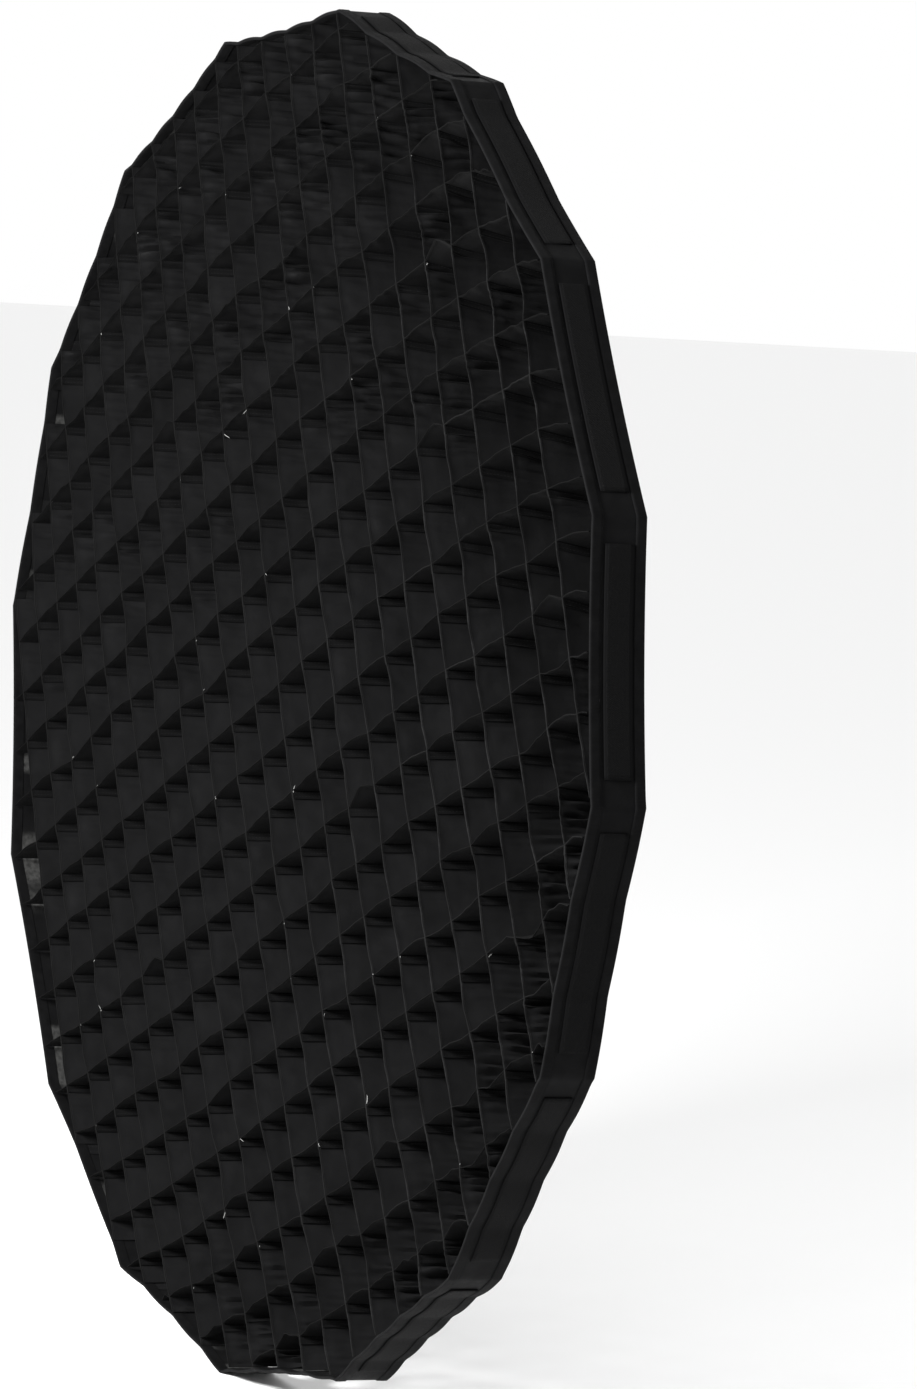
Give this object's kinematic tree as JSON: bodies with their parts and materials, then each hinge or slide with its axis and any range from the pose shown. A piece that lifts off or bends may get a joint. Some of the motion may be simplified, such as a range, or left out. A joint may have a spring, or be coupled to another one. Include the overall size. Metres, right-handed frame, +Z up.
{
  "type": "honeycomb grid",
  "caption": "Sixteen-sided fabric egg-crate grid of square cells with a bound rim and hook tape, for the mouth of a parabolic softbox.",
  "frame": {"origin": "centre of the grid, at half its depth", "axes": "+Z up with a corner of the rim straight up, front face towards -Y, +X to the right seen from the front"},
  "size_m": [1.2, 0.05, 1.2],
  "materials": {
    "strip_cloth": "black coated nylon, plain weave, faint sheen",
    "panel_cloth": "black coated nylon, plain weave, faint sheen",
    "band_cloth": "black nylon, doubled and stitched",
    "binding": "black ribbed binding tape",
    "hook_tape": "black hook tape"
  },
  "bodies": {
    "rim": {"strip_12": "strip_cloth", "cross_panels_01": "panel_cloth", "cross_panels_02": "panel_cloth", "cross_panels_03": "panel_cloth", "cross_panels_04": "panel_cloth", "cross_panels_05": "panel_cloth", "cross_panels_06": "panel_cloth", "cross_panels_07": "panel_cloth", "cross_panels_08": "panel_cloth", "cross_panels_09": "panel_cloth", "cross_panels_10": "panel_cloth", "cross_panels_11": "panel_cloth", "cross_panels_12": "panel_cloth", "cross_panels_13": "panel_cloth", "cross_panels_14": "panel_cloth", "cross_panels_15": "panel_cloth", "cross_panels_16": "panel_cloth", "cross_panels_17": "panel_cloth", "cross_panels_18": "panel_cloth", "cross_panels_19": "panel_cloth", "cross_panels_20": "panel_cloth", "cross_panels_21": "panel_cloth", "cross_panels_22": "panel_cloth", "cross_panels_23": "panel_cloth", "strip_end_tabs": "strip_cloth", "perimeter_band": "band_cloth", "front_binding": "binding", "back_binding": "binding", "hook_tape": "hook_tape"},
    "strip_01": {"strip_01": "strip_cloth"},
    "strip_02": {"strip_02": "strip_cloth"},
    "strip_03": {"strip_03": "strip_cloth"},
    "strip_04": {"strip_04": "strip_cloth"},
    "strip_05": {"strip_05": "strip_cloth"},
    "strip_06": {"strip_06": "strip_cloth"},
    "strip_07": {"strip_07": "strip_cloth"},
    "strip_08": {"strip_08": "strip_cloth"},
    "strip_09": {"strip_09": "strip_cloth"},
    "strip_10": {"strip_10": "strip_cloth"},
    "strip_11": {"strip_11": "strip_cloth"},
    "strip_13": {"strip_13": "strip_cloth"},
    "strip_14": {"strip_14": "strip_cloth"},
    "strip_15": {"strip_15": "strip_cloth"},
    "strip_16": {"strip_16": "strip_cloth"},
    "strip_17": {"strip_17": "strip_cloth"},
    "strip_18": {"strip_18": "strip_cloth"},
    "strip_19": {"strip_19": "strip_cloth"},
    "strip_20": {"strip_20": "strip_cloth"},
    "strip_21": {"strip_21": "strip_cloth"},
    "strip_22": {"strip_22": "strip_cloth"}
  },
  "joints": [
    {"name": "gather", "type": "slide", "parent": "rim", "child": "strip_01", "axis": [0.8746, 0, 0.4848], "range_m": [0, 0.43354], "deforming": ["cross_panels_01", "cross_panels_02", "cross_panels_03", "cross_panels_04", "cross_panels_05", "cross_panels_06", "cross_panels_07", "cross_panels_08", "cross_panels_09", "cross_panels_10", "cross_panels_11", "cross_panels_12", "cross_panels_13", "cross_panels_14", "cross_panels_15", "cross_panels_16", "cross_panels_17", "cross_panels_18", "cross_panels_19", "cross_panels_20", "cross_panels_21", "cross_panels_22", "cross_panels_23", "strip_end_tabs", "perimeter_band", "front_binding", "back_binding", "hook_tape"]},
    {"name": "strip_02_slide", "type": "slide", "parent": "rim", "child": "strip_02", "axis": [0.8746, 0, 0.4848], "range_m": [0, 0.3954]},
    {"name": "strip_03_slide", "type": "slide", "parent": "rim", "child": "strip_03", "axis": [0.8746, 0, 0.4848], "range_m": [0, 0.35701]},
    {"name": "strip_04_slide", "type": "slide", "parent": "rim", "child": "strip_04", "axis": [0.8746, 0, 0.4848], "range_m": [0, 0.31836]},
    {"name": "strip_05_slide", "type": "slide", "parent": "rim", "child": "strip_05", "axis": [0.8746, 0, 0.4848], "range_m": [0, 0.27945]},
    {"name": "strip_06_slide", "type": "slide", "parent": "rim", "child": "strip_06", "axis": [0.8746, 0, 0.4848], "range_m": [0, 0.24029]},
    {"name": "strip_07_slide", "type": "slide", "parent": "rim", "child": "strip_07", "axis": [0.8746, 0, 0.4848], "range_m": [0, 0.20088]},
    {"name": "strip_08_slide", "type": "slide", "parent": "rim", "child": "strip_08", "axis": [0.8746, 0, 0.4848], "range_m": [0, 0.16121]},
    {"name": "strip_09_slide", "type": "slide", "parent": "rim", "child": "strip_09", "axis": [0.8746, 0, 0.4848], "range_m": [0, 0.12129]},
    {"name": "strip_10_slide", "type": "slide", "parent": "rim", "child": "strip_10", "axis": [0.8746, 0, 0.4848], "range_m": [0, 0.08112]},
    {"name": "strip_11_slide", "type": "slide", "parent": "rim", "child": "strip_11", "axis": [0.8746, 0, 0.4848], "range_m": [0, 0.04069]},
    {"name": "strip_13_slide", "type": "slide", "parent": "rim", "child": "strip_13", "axis": [-0.8746, 0, -0.4848], "range_m": [0, 0.04094]},
    {"name": "strip_14_slide", "type": "slide", "parent": "rim", "child": "strip_14", "axis": [-0.8746, 0, -0.4848], "range_m": [0, 0.08213]},
    {"name": "strip_15_slide", "type": "slide", "parent": "rim", "child": "strip_15", "axis": [-0.8746, 0, -0.4848], "range_m": [0, 0.12358]},
    {"name": "strip_16_slide", "type": "slide", "parent": "rim", "child": "strip_16", "axis": [-0.8746, 0, -0.4848], "range_m": [0, 0.16528]},
    {"name": "strip_17_slide", "type": "slide", "parent": "rim", "child": "strip_17", "axis": [-0.8746, 0, -0.4848], "range_m": [0, 0.20724]},
    {"name": "strip_18_slide", "type": "slide", "parent": "rim", "child": "strip_18", "axis": [-0.8746, 0, -0.4848], "range_m": [0, 0.24945]},
    {"name": "strip_19_slide", "type": "slide", "parent": "rim", "child": "strip_19", "axis": [-0.8746, 0, -0.4848], "range_m": [0, 0.29191]},
    {"name": "strip_20_slide", "type": "slide", "parent": "rim", "child": "strip_20", "axis": [-0.8746, 0, -0.4848], "range_m": [0, 0.33463]},
    {"name": "strip_21_slide", "type": "slide", "parent": "rim", "child": "strip_21", "axis": [-0.8746, 0, -0.4848], "range_m": [0, 0.37761]},
    {"name": "strip_22_slide", "type": "slide", "parent": "rim", "child": "strip_22", "axis": [-0.8746, 0, -0.4848], "range_m": [0, 0.42083]}
  ],
  "couplings": [
    {"joint": "strip_02_slide", "follows": "gather", "ratio": 0.91202},
    {"joint": "strip_03_slide", "follows": "gather", "ratio": 0.82346},
    {"joint": "strip_04_slide", "follows": "gather", "ratio": 0.73431},
    {"joint": "strip_05_slide", "follows": "gather", "ratio": 0.64458},
    {"joint": "strip_06_slide", "follows": "gather", "ratio": 0.55425},
    {"joint": "strip_07_slide", "follows": "gather", "ratio": 0.46335},
    {"joint": "strip_08_slide", "follows": "gather", "ratio": 0.37185},
    {"joint": "strip_09_slide", "follows": "gather", "ratio": 0.27977},
    {"joint": "strip_10_slide", "follows": "gather", "ratio": 0.1871},
    {"joint": "strip_11_slide", "follows": "gather", "ratio": 0.093842},
    {"joint": "strip_13_slide", "follows": "gather", "ratio": 0.094429},
    {"joint": "strip_14_slide", "follows": "gather", "ratio": 0.18944},
    {"joint": "strip_15_slide", "follows": "gather", "ratio": 0.28505},
    {"joint": "strip_16_slide", "follows": "gather", "ratio": 0.38123},
    {"joint": "strip_17_slide", "follows": "gather", "ratio": 0.47801},
    {"joint": "strip_18_slide", "follows": "gather", "ratio": 0.57537},
    {"joint": "strip_19_slide", "follows": "gather", "ratio": 0.67332},
    {"joint": "strip_20_slide", "follows": "gather", "ratio": 0.77185},
    {"joint": "strip_21_slide", "follows": "gather", "ratio": 0.87098},
    {"joint": "strip_22_slide", "follows": "gather", "ratio": 0.97069}
  ]
}
